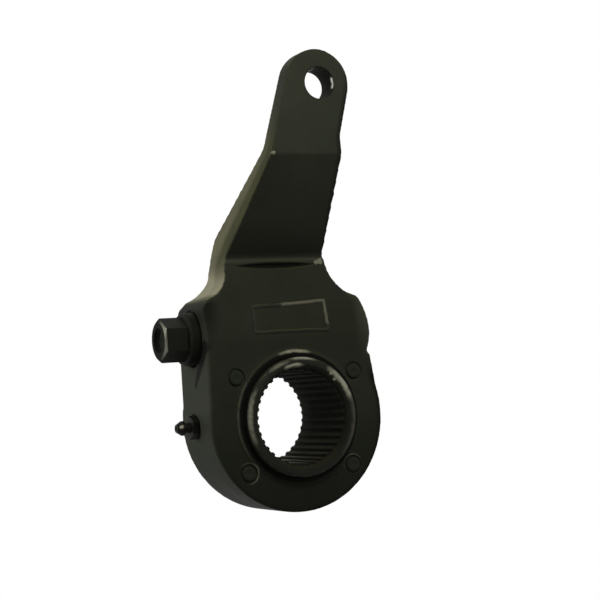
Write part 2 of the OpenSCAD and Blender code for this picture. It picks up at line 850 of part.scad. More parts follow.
body();
clevis_bush();
front_seal();
front_thrust_washer();
worm_wheel();
rear_thrust_washer();
cover_gasket();
rear_seal();
cover_plate();
cover_rivets();
worm();
worm_shaft();
drive_pin();
worm_washer_left();
worm_washer_right();
shaft_bush_left();
shaft_bush_right();
shaft_seal();
end_plug();
spring_seat();
lock_spring();
lock_sleeve();
sleeve_circlip();
grease_nipple();
nipple_ball();
nipple_spring();
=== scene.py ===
import math

import bmesh
import bpy
import numpy as np
from mathutils import Matrix, Vector


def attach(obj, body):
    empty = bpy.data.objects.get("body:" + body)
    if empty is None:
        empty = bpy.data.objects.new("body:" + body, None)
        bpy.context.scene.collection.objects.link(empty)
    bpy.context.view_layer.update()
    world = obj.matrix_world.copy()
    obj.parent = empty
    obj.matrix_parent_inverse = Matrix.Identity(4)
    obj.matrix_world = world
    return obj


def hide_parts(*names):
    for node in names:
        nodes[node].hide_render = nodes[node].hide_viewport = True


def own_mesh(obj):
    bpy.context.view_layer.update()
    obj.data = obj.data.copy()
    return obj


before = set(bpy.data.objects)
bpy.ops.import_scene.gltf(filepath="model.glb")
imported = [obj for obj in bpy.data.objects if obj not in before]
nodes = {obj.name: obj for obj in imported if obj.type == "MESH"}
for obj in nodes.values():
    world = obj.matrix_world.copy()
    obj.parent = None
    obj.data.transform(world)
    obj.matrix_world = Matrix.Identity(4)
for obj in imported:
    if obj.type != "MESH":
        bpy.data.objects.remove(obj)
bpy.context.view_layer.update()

# Forged lever
# One steel forging: round big end with the worm boss, neck, cranked arm and clevis eye.
# Its edges come soft from the die, then the bores are cut and the whole is sprayed dark green-black.
mm = 0.001

# Sizes in mm: X runs along the worm, Y along the camshaft to the back, Z up to the eye
body_r = 38.8
face_front, face_back = 17.0, 14.4
side_left, side_right = 38.2, 35.8
shoulder_z, worm_z = 49.5, 34.5
lean_z, bend_low, bend_high = 33.0, 66.3, 104.2
neck_y, neck_t = -10.0, 16.0
strap_y, strap_t = -44.0, 9.0
eye_x, eye_z, eye_r, eye_t = 5.9, 132.8, 13.8, 11.4
hub_r, lip_r, lip_h = 24.5, 27.0, 1.1


def arc(cx, cz, r, a0, a1, steps):
    """Points of an arc from angle a0 to a1, in degrees."""
    turns = np.radians(np.linspace(a0, a1, steps))
    return [(cx + r * math.cos(t), cz + r * math.sin(t)) for t in turns]


def touch(p, c, r, side):
    """Angle at which a line from p touches the circle round c."""
    away = math.atan2(p[1] - c[1], p[0] - c[0]) + side * math.acos(r / math.dist(p, c))
    return math.degrees(away)


def soften(corners, steps=6):
    """Rounds the corners of a closed outline; each is (a, b) or (a, b, radius)."""
    out = []
    for i, corner in enumerate(corners):
        here = Vector(corner[:2])
        if len(corner) == 2:
            out.append(here)
            continue
        before = Vector(corners[i - 1][:2])
        after = Vector(corners[(i + 1) % len(corners)][:2])
        u, v = (before - here).normalized(), (after - here).normalized()
        most = 0.45 * min((before - here).length, (after - here).length)
        back = min(corner[2] / math.tan(u.angle(v) / 2), most)
        a, b = here + u * back, here + v * back
        for t in np.linspace(0, 1, steps + 1):
            out.append(a * (1 - t) ** 2 + here * 2 * t * (1 - t) + b * t * t)
    return [(p[0], p[1]) for p in out]


def as_object(name, bm):
    mesh = bpy.data.meshes.new(name)
    bm.to_mesh(mesh)
    bm.free()
    made = bpy.data.objects.new(name, mesh)
    bpy.context.scene.collection.objects.link(made)
    return made


def along_y(x=0.0, z=0.0):
    """Stands a shape on an axis along Y: turns (a, b, depth) into a point."""
    return lambda a, b, depth: (x + a, depth, z + b)


def along_x(z=0.0):
    """Stands a shape on an axis along X: turns (a, b, depth) into a point."""
    return lambda a, b, depth: (depth, a, z + b)


def along_z(x, y, z):
    """Stands a shape on an axis along Z, from a middle."""
    return lambda a, b, height: (x + a, y + b, z + height)


def prism(name, outline, low, high, place):
    """Closed solid over an outline, between two depths."""
    bm = bmesh.new()
    ends = [[bm.verts.new(Vector(place(a, b, d)) * mm) for a, b in outline] for d in (low, high)]
    for end in ends:
        bm.faces.new(end)
    for i in range(len(outline)):
        j = (i + 1) % len(outline)
        bm.faces.new((ends[0][i], ends[0][j], ends[1][j], ends[1][i]))
    bmesh.ops.recalc_face_normals(bm, faces=bm.faces)
    return as_object(name, bm)


def stepped(start, *steps):
    """Profile of a stepped bore that begins at start; each step is (radius, end)."""
    profile = [(0, start)]
    for radius, end in steps:
        profile += [(radius, profile[-1][1]), (radius, end)]
    return profile + [(0, profile[-1][1])]


def turned(name, *shapes):
    """One object of turned solids; each is (profile of (radius, depth) points, place, sides)."""
    bm = bmesh.new()
    for profile, place, sides in shapes:
        rings = []
        for t in np.arange(sides) * 2 * math.pi / sides:
            ring = [Vector(place(r * math.cos(t), r * math.sin(t), d)) * mm for r, d in profile]
            rings.append([bm.verts.new(point) for point in ring])
        for k, here in enumerate(rings):
            after = rings[(k + 1) % sides]
            for i in range(len(profile)):
                j = (i + 1) % len(profile)
                bm.faces.new((here[i], here[j], after[j], after[i]))
        bmesh.ops.remove_doubles(bm, verts=[v for ring in rings for v in ring], dist=1e-7)
    bmesh.ops.recalc_face_normals(bm, faces=bm.faces)
    return as_object(name, bm)


def settle(piece):
    """Applies the modifiers of a piece and leaves it as a plain mesh."""
    view = bpy.context.evaluated_depsgraph_get()
    mesh = bpy.data.meshes.new_from_object(piece.evaluated_get(view))
    piece.modifiers.clear()
    old, piece.data = piece.data, mesh
    bpy.data.meshes.remove(old)
    mesh.name = piece.name
    return piece


def cut(piece, tool, how="DIFFERENCE"):
    step = piece.modifiers.new(how.lower(), "BOOLEAN")
    step.operation = how
    step.solver = "EXACT"
    step.object = tool
    settle(piece)
    bpy.data.objects.remove(tool)


def shade(piece, degrees=38):
    """Smooth shading that keeps edges sharper than the angle."""
    piece.data.shade_smooth()
    piece.data.set_sharp_from_angle(angle=math.radians(degrees))


def points_of(piece):
    """Places of all points of a piece, in mm, one row for each."""
    flat = np.empty(len(piece.data.vertices) * 3)
    piece.data.vertices.foreach_get("co", flat)
    return flat.reshape(-1, 3) / mm


def ramp(value, start, end):
    """0 at start, 1 at end, and held beyond both."""
    return np.clip((value - start) / (end - start), 0, 1)


# Outline from the front; corners are (x, z, rounding)
neck_left, neck_right = -26.6, 20.2
fillet_left, fillet_right = 12.0, 15.0
arm_left_low, arm_left_high = -25.4, -17.5
arm_right_low, arm_right_high = 19.4, 14.3
waist_left, waist_right, waist_z = -15.7, 13.8, bend_high + 7
top_left, top_right = 3 - side_left, side_right - 5.6
boss_r, boss_out = 27.4, 1.7
boss_mid = (side_right + boss_out - boss_r, worm_z + 1.5)
boss_low = (side_right - 0.6, worm_z - 8.7)
eye_mid = (eye_x - 0.6, eye_z)
left_mid = (neck_left - fillet_left, shoulder_z + fillet_left)
right_mid = (neck_right + fillet_right, shoulder_z + fillet_right)
left_start = -math.degrees(math.acos((top_left - left_mid[0]) / fillet_left))
right_end = 180 + math.degrees(math.acos((right_mid[0] - top_right) / fillet_right))
eye_start = touch((waist_left, waist_z), eye_mid, eye_r, -1) + 360
eye_end = touch((waist_right, waist_z), eye_mid, eye_r, 1)
front_view = (
    arc(0, 0, body_r, 16, -190, 90)
    + [(-side_left, shoulder_z - 3.4, 2.5), (top_left, shoulder_z, 2)]
    + arc(*left_mid, fillet_left, left_start, 0, 10)
    + [(arm_left_low, bend_low, 14), (arm_left_high, bend_high, 16), (waist_left, waist_z, 10)]
    + arc(*eye_mid, eye_r, eye_start, eye_end, 40)
    + [(waist_right, waist_z, 5), (arm_right_high, bend_high, 4), (arm_right_low, bend_low, 1.5)]
    + arc(*right_mid, fillet_right, 180, right_end, 12)
    + [(side_right - 2, shoulder_z - 0.4, 2)]
    + arc(*boss_mid, boss_r, 21, -18, 12)
    + [(*boss_low, 1.5)]
)

# Outline from the side, first up the front, then down the back; corners are (y, z, rounding)
foot_z = -body_r - 1
head_z = eye_z + eye_r + 1
neck_back = neck_y + neck_t
strap_back = strap_y + strap_t
side_view = [
    (-face_front, foot_z), (-face_front, lean_z, 4), (neck_y, bend_low, 0.5), (strap_y, bend_high, 0.6),
    (strap_y, head_z), (strap_back, head_z), (strap_back, bend_high + 3.2, 6),
    (strap_back + 10.4, bend_high - 5.4, 8), (neck_back - 1.6, bend_low + 9.4, 5),
    (neck_back, bend_low + 3, 3), (neck_back, shoulder_z + 9, 8), (face_back, shoulder_z - 2, 4),
    (face_back, foot_z),
]
lever = prism("forged_lever", soften(front_view), strap_y - 1, face_back + 1, along_y())
cut(lever, prism("side_cut", soften(side_view), foot_z, -foot_z, along_x()), "INTERSECT")

# Raised rings: the back of the eye and the lip round the hub
sunk, lip_slope, eye_boss_in = 3, 0.9, 2.4
eye_boss = stepped(strap_y + sunk, (eye_r - eye_boss_in, strap_y + eye_t))
hub_lip = [(0, sunk - face_front), (lip_r + lip_slope, sunk - face_front), (lip_r + lip_slope, -face_front),
           (lip_r, -face_front - lip_h), (0, -face_front - lip_h)]
cut(lever, turned("bosses", (eye_boss, along_y(eye_x, eye_z), 96), (hub_lip, along_y(), 96)), "UNION")

# Soft edges of the die, softest round the big end, on the worm boss and along the right of the arm
voxel, boss_drop, boss_round = 0.6, 2.4, 5.0
step = lever.modifiers.new("die_grain", "REMESH")
step.mode = "VOXEL"
step.voxel_size = voxel * mm
settle(lever)
x, y, z = points_of(lever).T
on_boss = (x > 20) & (z > worm_z - 10) & (z < shoulder_z + 4)
from_edge = np.minimum(boss_r - np.hypot(x - boss_mid[0], z - boss_mid[1]), shoulder_z + 1 - z)
drop = ramp(from_edge, boss_round, 0) ** 2 * ramp(x, 23, 31) * ramp(z, shoulder_z + 5, shoulder_z)
y = y + boss_drop * on_boss * drop * ramp(y, 0, -face_front)
lever.data.vertices.foreach_set("co", np.stack((x, y, z), 1).ravel() * mm)
softened = {
    "all_over": (z > foot_z, 5),
    "rim": ((z < shoulder_z - 2.5) & (np.hypot(x, z) > lip_r + 4), 11),
    "worm_boss": (on_boss, 11),
    "right_edge": ((z > bend_low) & (x > 10), 8),
}
for name, (chosen, rounds) in softened.items():
    lever.vertex_groups.new(name=name).add(np.nonzero(chosen)[0].tolist(), 1.0, "REPLACE")
    step = lever.modifiers.new("soften_" + name, "SMOOTH")
    step.factor, step.iterations, step.vertex_group = 0.5, rounds, name
settle(lever)
lever.vertex_groups.clear()

# Bores, cut from well outside: room for hub, wheel and cover, then for sleeve, shaft, worm and plug
front_of_it, back_of_it, beside_it = -30, 20, 60
run_gap = 0.05
wheel_room_r, wheel_room_front, wheel_room_back = 28.45, -10.5, 11.4
cover_r = 35.4
hub_bore = stepped(front_of_it, (hub_r + run_gap, wheel_room_front), (wheel_room_r, wheel_room_back),
                   (cover_r, back_of_it))
sleeve_room = (11.8, -23.5)
left_bush_room = (8, -10.1)
worm_room = (10.9, 15.1)
right_bush_room = (6.6, 32.2)
plug_r = 7.6
worm_bore = stepped(-beside_it, sleeve_room, left_bush_room, worm_room, right_bush_room, (plug_r, beside_it))
cut(lever, turned("hub_bore", (hub_bore, along_y(), 128)))
cut(lever, turned("worm_bore", (worm_bore, along_x(worm_z), 72)))

# Smaller bores: four rivets, the clevis bush behind a skin of paint, and the grease nipple in its flat
rivet_circle, rivet_turns = 31.8, np.radians((33, 147, 222, 318))
rivet_spots = [(rivet_circle * math.cos(t), rivet_circle * math.sin(t)) for t in rivet_turns]
rivet_front, rivet_sink_r, rivet_hole_r, rivet_hole_end = 0.5 - face_front, 3.9, 2.25, 12.5
rivet_bore = stepped(front_of_it, (rivet_sink_r, rivet_front), (rivet_hole_r, rivet_hole_end))
pin_r, bush_r, skin = 6.4, 8.6, 0.3
past_eye = strap_y + back_of_it
eye_bore = [(0, strap_y - 9), (pin_r + 1.2, strap_y - 0.6), (pin_r, strap_y + skin), (bush_r, strap_y + skin),
            (bush_r, past_eye), (0, past_eye)]
nipple_z, nipple_flat_r, nipple_hole_r, nipple_hole_end = -1.5, 5.6, 4, -27.5
nipple_bore = stepped(-beside_it, (nipple_flat_r, -side_left), (nipple_hole_r, nipple_hole_end))

# Groove under the lower bend: a wide V swept on a flat arc, deepest in its middle
groove_x, groove_below, groove_half = -3.4, 3.2, 19.0
groove_depth, groove_open, groove_back = 1.9, 3.4, 4
groove_z = bend_low - groove_below
groove_r = (groove_half ** 2 + groove_depth ** 2) / (2 * groove_depth)
lean_run = (face_front + neck_y) / (bend_low - lean_z)
groove_y = neck_y - groove_below * lean_run + groove_depth - groove_r
groove = [(groove_r - groove_back, -groove_open), (groove_r, 0), (groove_r - groove_back, groove_open)]
small_cuts = [(rivet_bore, along_y(*spot), 32) for spot in rivet_spots]
small_cuts += [
    (eye_bore, along_y(eye_x, eye_z), 64),
    (nipple_bore, along_x(nipple_z), 48),
    (groove, along_z(groove_x, groove_y, groove_z), 720),
]
cut(lever, turned("small_cuts", *small_cuts))
shade(lever)

# Where the paint is knocked off: (x, y, z, size)
chips = [
    (-16.4, strap_y, bend_high + 0.3, 1.7),
    (17.8, neck_y - 0.3, bend_low - 1.9, 3.0),
    (15.8, neck_y - 0.3, bend_low - 2.6, 1.6),
]
points = points_of(lever)
x, y, z = points.T
bare = np.zeros(len(points))
for *chip, size in chips:
    bare = np.maximum(bare, 1 - np.linalg.norm(points - chip, axis=1) / size)

# Painted shade: inside the lip, in the groove, a painted shadow down the flank below the sleeve, on the upper
# flank, above the lower bend, darker towards the bottom, and along the right edges
reach = np.hypot(x, z)
front_at = np.interp(z, (lean_z, bend_low, bend_high), (-face_front, neck_y, strap_y))
lip_shade = 0.9 * ((y < 0.6 - face_front) & (reach < lip_r - 0.5))
along_groove = (np.abs(z - groove_z) < 2) & (np.abs(x - groove_x) < groove_half)
groove_shade = 0.7 * (along_groove & (y > front_at + 0.25) & (y < 0))
# Painted shadow of the sleeve collar, narrowing as it runs down the flank
shadow_top, shadow_end = np.array((-side_left, -13.8, 30.5)), np.array((-side_left, -1.6, 15.0))
fall = shadow_end - shadow_top
down = np.clip((points - shadow_top) @ fall / (fall @ fall), 0, 1)
off_shadow = np.linalg.norm(points - shadow_top - np.outer(down, fall), axis=1)
shadow_top_r, shadow_end_r = 4.2, 1.4
sleeve_shadow = 1 - off_shadow / (shadow_top_r + (shadow_end_r - shadow_top_r) * down)
# Painted shade on the upper left flank beside the sleeve
flank_shade = np.interp(z, (28, 42, 48, 50.5), (0, 0.32, 0.4, 0)) * ramp(x, -29, -36)
# Painted shade, darker towards the bottom
low_shade = np.interp(z, (-body_r, -15, 8), (0.24, 0.16, 0))
# Painted shade on the front just above the lower bend
corner = np.interp(z, (bend_low, bend_low + 2, bend_low + 20), (0, 0.22, 0)) * (y < front_at + 2)
near_front = ramp(y, front_at + 7, front_at + 2)
angle = np.degrees(np.arctan2(z, x))
# Painted shade along the right edges of the rim and the arm
rim_right = ramp(angle, -115, -85) * ramp(angle, 30, 22) * ramp(reach, body_r - 3, body_r)
right_at = np.interp(z, (bend_low, bend_high, waist_z, eye_z),
                     (arm_right_low, arm_right_high, waist_right, eye_x + eye_r))
arm_right = ramp(x, right_at - 3.2, right_at) * ramp(z, bend_low, bend_low + 4)
edges = 0.5 * near_front * np.maximum(rim_right, arm_right)
# All of these are painted shade, stored on the lever
greasy = np.max([lip_shade, groove_shade, sleeve_shadow, flank_shade, low_shade, corner, edges], axis=0)

# Dust along the left side of the arm, thickest in the fillet above the shoulder and at the back edge
back_at = np.interp(z, (shoulder_z, bend_low + 3, bend_low + 9, bend_high + 3),
                    (face_back, neck_back, neck_back - 2, strap_back))
inward = ramp(y, front_at, back_at)
thickness = np.interp(z, (49.5, 52, 57, 64, 75, 102, 108, 132), (0, 2.4, 1.9, 0.55, 0.4, 0.34, 0.15, 0))
in_front = np.interp(z, (56, 70), (0.6, 0.03))
at_back = np.interp(inward, (0.35, 0.55, 0.85, 1), (0, 0.9, 1, 0.6))
silt = thickness * (in_front + (1 - in_front) * at_back) * (x < -9)

# Painted highlight in a dust tint under the lower bend and on the right worm boss
under_bend = ramp(np.abs(z - bend_low + 1.1), 1.2, 0) * (y < neck_y + 3)
boss_highlight = ramp(x, 29, 34) * np.interp(z, (24, 30, 44, 51), (0, 0.7, 1, 0.3)) * (y < 2)
lodged = np.maximum(0.1 * under_bend, 0.13 * boss_highlight)
for name, values in (("bare", bare), ("greasy", greasy), ("silt", silt), ("lodged", lodged)):
    lever.data.attributes.new(name, "FLOAT", "POINT").data.foreach_set("value", values)


def put(tree, kind, inputs=None, **settings):
    """Adds a node; each input takes a value or another node's output."""
    family = "ShaderNode" if tree.type == "SHADER" else "GeometryNode"
    node = tree.nodes.new(kind if "Node" in kind else family + kind)
    for key, value in settings.items():
        setattr(node, key, value)
    for key, value in (inputs or {}).items():
        if isinstance(value, bpy.types.NodeSocket):
            tree.links.new(value, node.inputs[key])
        else:
            node.inputs[key].default_value = value
    return node


def calc(tree, operation, *values, clamp=False):
    """Result of a math node."""
    node = put(tree, "ShaderNodeMath", dict(enumerate(values)), operation=operation, use_clamp=clamp)
    return node.outputs["Value"]


def vector_calc(tree, operation, *values):
    """Result of a vector math node: a number for lengths and products, else a vector."""
    node = put(tree, "ShaderNodeVectorMath", dict(enumerate(values)), operation=operation)
    is_number = operation in ("DOT_PRODUCT", "DISTANCE", "LENGTH")
    return node.outputs["Value" if is_number else "Vector"]


def remap(tree, value, start, end, low=0.0, high=1.0):
    """Takes a value from start..end to low..high and holds it there."""
    sockets = {"Value": value, "From Min": start, "From Max": end, "To Min": low, "To Max": high}
    return put(tree, "MapRange", sockets).outputs["Result"]


def noise(tree, where, scale, detail, roughness=0.5):
    sockets = {"Vector": where, "Scale": scale, "Detail": detail, "Roughness": roughness}
    return put(tree, "TexNoise", sockets).outputs["Fac"]


def mix(tree, share, first, second):
    """Blends two numbers."""
    return put(tree, "Mix", {0: share, 2: first, 3: second}).outputs[0]


def mix_color(tree, share, first, second):
    """Blends a colour or a colour output with a colour."""
    first = first if isinstance(first, bpy.types.NodeSocket) else (*first, 1)
    return put(tree, "Mix", {0: share, 6: first, 7: (*second, 1)}, data_type="RGBA").outputs[2]


def effect(name, inputs, outputs):
    """Starts a shader group with named number inputs and number outputs."""
    tree = bpy.data.node_groups.new(name, "ShaderNodeTree")
    for label, value in inputs.items():
        socket = tree.interface.new_socket(label, in_out="INPUT", socket_type="NodeSocketFloat")
        socket.default_value = value
    for label in outputs:
        tree.interface.new_socket(label, in_out="OUTPUT", socket_type="NodeSocketFloat")
    return tree, tree.nodes.new("NodeGroupInput").outputs, tree.nodes.new("NodeGroupOutput").inputs


# Uneven skin: broad tone of the sprayed or machined surface, and the height of its fine grain
uneven_skin, given, result = effect(
    "uneven_skin", {"Patch": 45.0, "Grain": 900.0, "Waves": 120.0}, ["Tone", "Height"])
where = put(uneven_skin, "TexCoord").outputs["Object"]
broad = noise(uneven_skin, where, given["Patch"], 5.0, 0.6)
grain = noise(uneven_skin, where, given["Grain"], 3.0, 0.55)
waves = noise(uneven_skin, where, given["Waves"], 2.0)
uneven_skin.links.new(remap(uneven_skin, broad, 0.3, 0.7), result["Tone"])
uneven_skin.links.new(calc(uneven_skin, "MULTIPLY_ADD", waves, 1.8, grain), result["Height"])

# Edge wear: shows where the rounded and the true direction of the surface part, broken up by a noise
edge_wear, given, result = effect(
    "edge_wear", {"Radius": 0.6 * mm, "Patch": 260.0, "Amount": 1.0}, ["Mask"])
rounded = put(edge_wear, "Bevel", {"Radius": given["Radius"]}, samples=6).outputs["Normal"]
unrounded = put(edge_wear, "NewGeometry").outputs["Normal"]
edge = remap(edge_wear, vector_calc(edge_wear, "DOT_PRODUCT", rounded, unrounded), 0.99, 0.86)
where = put(edge_wear, "TexCoord").outputs["Object"]
speck = remap(edge_wear, noise(edge_wear, where, given["Patch"], 4.0, 0.65), 0.42, 0.62)
both = calc(edge_wear, "MULTIPLY", edge, speck)
edge_wear.links.new(calc(edge_wear, "MULTIPLY", both, given["Amount"], clamp=True), result["Mask"])

# Chips and painted shade: the chips stored on the lever, with a ragged edge, and the painted shade stored
# with them
chips_and_shade, given, result = effect("chipped_paint", {"Patch": 650.0}, ["Bare", "Grease"])
where = put(chips_and_shade, "TexCoord").outputs["Object"]
ragged = remap(chips_and_shade, noise(chips_and_shade, where, given["Patch"], 4.0), 0.25, 0.75, -0.4, 0.4)
stored = put(chips_and_shade, "Attribute", attribute_name="bare").outputs["Fac"]
level = calc(chips_and_shade, "ADD", stored, ragged)
chips_and_shade.links.new(remap(chips_and_shade, level, 0.42, 0.55, high=0.6), result["Bare"])
stored = put(chips_and_shade, "Attribute", attribute_name="greasy").outputs["Fac"]
chips_and_shade.links.new(remap(chips_and_shade, stored, 0.05, 0.45), result["Grease"])

# Worn and lit patch: a ragged patch round one place, for wear and for painted highlights
worn_spot, given, result = effect(
    "worn_spot", {"X": 0.0, "Y": 0.0, "Z": 0.0, "Size": 5 * mm, "Patch": 500.0}, ["Bare"])
where = put(worn_spot, "TexCoord").outputs["Object"]
center = put(worn_spot, "CombineXYZ", {0: given["X"], 1: given["Y"], 2: given["Z"]}).outputs[0]
near = remap(worn_spot, vector_calc(worn_spot, "DISTANCE", where, center), given["Size"], 0.0)
ragged = remap(worn_spot, noise(worn_spot, where, given["Patch"], 4.0), 0.25, 0.75, -0.2, 0.2)
level = calc(worn_spot, "ADD", near, ragged)
worn_spot.links.new(remap(worn_spot, level, 0.25, 0.65), result["Bare"])

# Highlight arc: a smooth painted highlight on a circle round an axis along Y, in front of a depth, fading to
# both ends
worn_arc, given, result = effect("worn_arc", {
    "Middle X": 0.0, "Middle Z": 0.0, "Radius": 20 * mm, "Width": 1 * mm, "Toward X": 0.0, "Toward Z": 1.0,
    "Spread": 0.9, "Front": 0.0, "Strength": 1.0, "Patch": 420.0}, ["Bare"])
where = put(worn_arc, "TexCoord").outputs["Object"]
center = put(worn_arc, "CombineXYZ", {0: given["Middle X"], 2: given["Middle Z"]}).outputs[0]
flat = vector_calc(worn_arc, "MULTIPLY", where, (1, 0, 1))
flat = vector_calc(worn_arc, "SUBTRACT", flat, center)
off = calc(worn_arc, "SUBTRACT", vector_calc(worn_arc, "LENGTH", flat), given["Radius"])
line = remap(worn_arc, calc(worn_arc, "ABSOLUTE", off), given["Width"], 0.0)
toward = put(worn_arc, "CombineXYZ", {0: given["Toward X"], 2: given["Toward Z"]}).outputs[0]
aside = vector_calc(worn_arc, "DOT_PRODUCT", vector_calc(worn_arc, "NORMALIZE", flat), toward)
level = calc(worn_arc, "MULTIPLY", line, remap(worn_arc, aside, given["Spread"], 1.0))
ragged = remap(worn_arc, noise(worn_arc, where, given["Patch"], 3.0), 0.3, 0.7, 0.6, 1.5)
level = calc(worn_arc, "MULTIPLY", level, ragged)
level = remap(worn_arc, level, 0.15, 0.85, high=given["Strength"])
depth = put(worn_arc, "SeparateXYZ", {0: where}).outputs["Y"]
ahead = calc(worn_arc, "LESS_THAN", depth, given["Front"])
worn_arc.links.new(calc(worn_arc, "MULTIPLY", level, ahead), result["Bare"])

# Settled dust: on faces that look up and along the left of the arm, and the silt and painted highlight stored
# on the lever
dust, given, result = effect("settled_dust", {"Patch": 90.0, "Up": 1.0, "Side": 1.0}, ["Mask", "Silt"])
coords = put(dust, "TexCoord").outputs
facing = put(dust, "SeparateXYZ", {0: coords["Normal"]}).outputs
height = put(dust, "SeparateXYZ", {0: coords["Object"]}).outputs["Z"]
up = remap(dust, facing["Z"], 0.3, 0.95, high=given["Up"])
side = remap(dust, facing["X"], -0.5, -0.95, high=given["Side"])
above_shoulder = remap(dust, height, 46 * mm, 62 * mm)
below_eye = remap(dust, height, 125 * mm, 100 * mm)
on_arm = calc(dust, "MULTIPLY", above_shoulder, below_eye)
most = calc(dust, "MAXIMUM", up, calc(dust, "MULTIPLY", side, on_arm))
cloud = remap(dust, noise(dust, coords["Object"], given["Patch"], 5.0), 0.25, 0.7, low=0.45)
dust.links.new(calc(dust, "MULTIPLY", most, cloud, clamp=True), result["Mask"])
thick = put(dust, "Attribute", attribute_name="silt").outputs["Fac"]
thick = calc(dust, "MULTIPLY", thick, remap(dust, facing["X"], -0.2, -0.7))
thick = calc(dust, "MULTIPLY", thick, cloud)
lit_level = put(dust, "Attribute", attribute_name="lodged").outputs["Fac"]
dust.links.new(calc(dust, "ADD", thick, lit_level), result["Silt"])

dust_color, dust_rough = (0.09, 0.084, 0.034), 0.7
# Tint of silt, and of the painted highlight under the bend and on the worm boss
silt_and_highlight_color = (0.3, 0.28, 0.195)
# Colour of painted shade
painted_shade_color, matt = (0.006, 0.006, 0.005), 0.8


def finish(name, dark, light, rough, metal=0.0, grain=0.12, fine=900.0, wear=0.0,
           worn_and_lit_color=(0.16, 0.155, 0.14), worn_rough=0.35, worn_metal=0.7, radius=0.6, specular=0.5,
           dusty=0.0, with_silt_and_highlight=False, marks=None, worn_and_lit_spots=(), highlight_arcs=()):
    """Surface finish: uneven colour and gloss, fine grain and, where wanted, dust, painted shade, wear and
    painted highlights.

    The height of the grain and the radius of the edges are in mm. Worn and lit spots are (x, y, z, size) in
    mm; some are wear, some painted highlights.
    Highlight arcs, painted highlights along circles, are ((x, z), radius, width, middle, half span, front y,
    strength) in mm and degrees.
    """
    made = bpy.data.materials.new(name)
    made.use_nodes = True
    tree = made.node_tree
    shader = tree.nodes["Principled BSDF"]
    shader.inputs["Metallic"].default_value = metal
    shader.inputs["Specular IOR Level"].default_value = specular
    base = put(tree, "Group", {"Grain": fine}, node_tree=uneven_skin).outputs
    color = mix_color(tree, base["Tone"], dark, light)
    gloss = remap(tree, base["Tone"], 0.0, 1.0, rough - 0.05, rough + 0.07)
    if dusty:
        layers = put(tree, "Group", {"Up": dusty, "Side": dusty}, node_tree=dust).outputs
        color = mix_color(tree, layers["Mask"], color, dust_color)
        if with_silt_and_highlight:
            color = mix_color(tree, layers["Silt"], color, silt_and_highlight_color)
        gloss = mix(tree, layers["Mask"], gloss, dust_rough)
    if wear:
        worn_at = put(tree, "Group", {"Amount": wear, "Radius": radius * mm}, node_tree=edge_wear)
        wear_and_highlight = worn_at.outputs["Mask"]
        if marks:
            own = put(tree, "Group", node_tree=marks).outputs
            # Painted shade from the marks
            color = mix_color(tree, own["Grease"], color, painted_shade_color)
            if "Keep" in own:
                gloss = mix(tree, own["Keep"], matt, gloss)
                wear_and_highlight = calc(tree, "MULTIPLY", wear_and_highlight, own["Keep"])
            if "Bare" in own:
                wear_and_highlight = calc(tree, "ADD", wear_and_highlight, own["Bare"], clamp=True)
        # Spots of wear and of painted highlight
        for x, y, z, size in worn_and_lit_spots:
            place = {"X": x * mm, "Y": y * mm, "Z": z * mm, "Size": size * mm}
            spot_level = put(tree, "Group", place, node_tree=worn_spot).outputs["Bare"]
            wear_and_highlight = calc(tree, "MAXIMUM", wear_and_highlight, spot_level)
        # Painted highlights along arcs
        for (mid_x, mid_z), reach, width, middle, half, front, strength in highlight_arcs:
            aim = math.radians(middle)
            course = {
                "Middle X": mid_x * mm, "Middle Z": mid_z * mm, "Radius": reach * mm, "Width": width * mm,
                "Toward X": math.cos(aim), "Toward Z": math.sin(aim),
                "Spread": math.cos(math.radians(half)), "Front": front * mm, "Strength": strength}
            arc_highlight = put(tree, "Group", course, node_tree=worn_arc).outputs["Bare"]
            wear_and_highlight = calc(tree, "MAXIMUM", wear_and_highlight, arc_highlight)
        color = mix_color(tree, wear_and_highlight, color, worn_and_lit_color)
        gloss = mix(tree, wear_and_highlight, gloss, worn_rough)
        tree.links.new(mix(tree, wear_and_highlight, metal, worn_metal), shader.inputs["Metallic"])
    eased = put(tree, "Bevel", {"Radius": radius * mm}, samples=6).outputs["Normal"]
    relief = {"Height": base["Height"], "Distance": grain * mm, "Strength": 1.0, "Normal": eased}
    bump = put(tree, "Bump", relief)
    tree.links.new(color, shader.inputs["Base Color"])
    tree.links.new(gloss, shader.inputs["Roughness"])
    tree.links.new(bump.outputs["Normal"], shader.inputs["Normal"])
    return made


# Painted highlights on the lip, and round the two lower rivets
on_face = 0.4 - face_front
paint = finish(
    "green_black_paint", (0.026, 0.029, 0.020), (0.037, 0.040, 0.029), 0.58, wear=0.05, radius=0.8,
    worn_and_lit_color=(0.32, 0.31, 0.225), worn_rough=0.5, worn_metal=0.1, specular=0.03, dusty=0.6, with_silt_and_highlight=True,
    marks=chips_and_shade,
    highlight_arcs=[((0, 0), lip_r, 1.1, 90, 19, on_face + 0.2, 1.0),
          ((0, 0), lip_r + 0.3, 0.6, 178, 50, on_face, 0.2),
          (rivet_spots[2], 4.2, 0.6, 20, 180, on_face, 0.45),
          (rivet_spots[3], 4.2, 0.6, 110, 110, on_face, 0.4)])
lever.data.materials.append(paint)
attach(lever, "housing")
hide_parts("body")

# Plate frame
# Thin rib forged on the leaning part of the front, for a stamped plate; left bare here.
# It is a closed line, a little uneven and taller to the right, swept with a rounded section.


def geometry_tree(name, inputs):
    """Starts a geometry tree with named inputs, given as (socket type, value)."""
    tree = bpy.data.node_groups.new(name, "GeometryNodeTree")
    for way in ("INPUT", "OUTPUT"):
        tree.interface.new_socket("Geometry", in_out=way, socket_type="NodeSocketGeometry")
    for label, (kind, value) in inputs.items():
        socket = tree.interface.new_socket(label, in_out="INPUT", socket_type="NodeSocket" + kind)
        socket.default_value = value
    return tree, tree.nodes.new("NodeGroupInput").outputs, tree.nodes.new("NodeGroupOutput").inputs


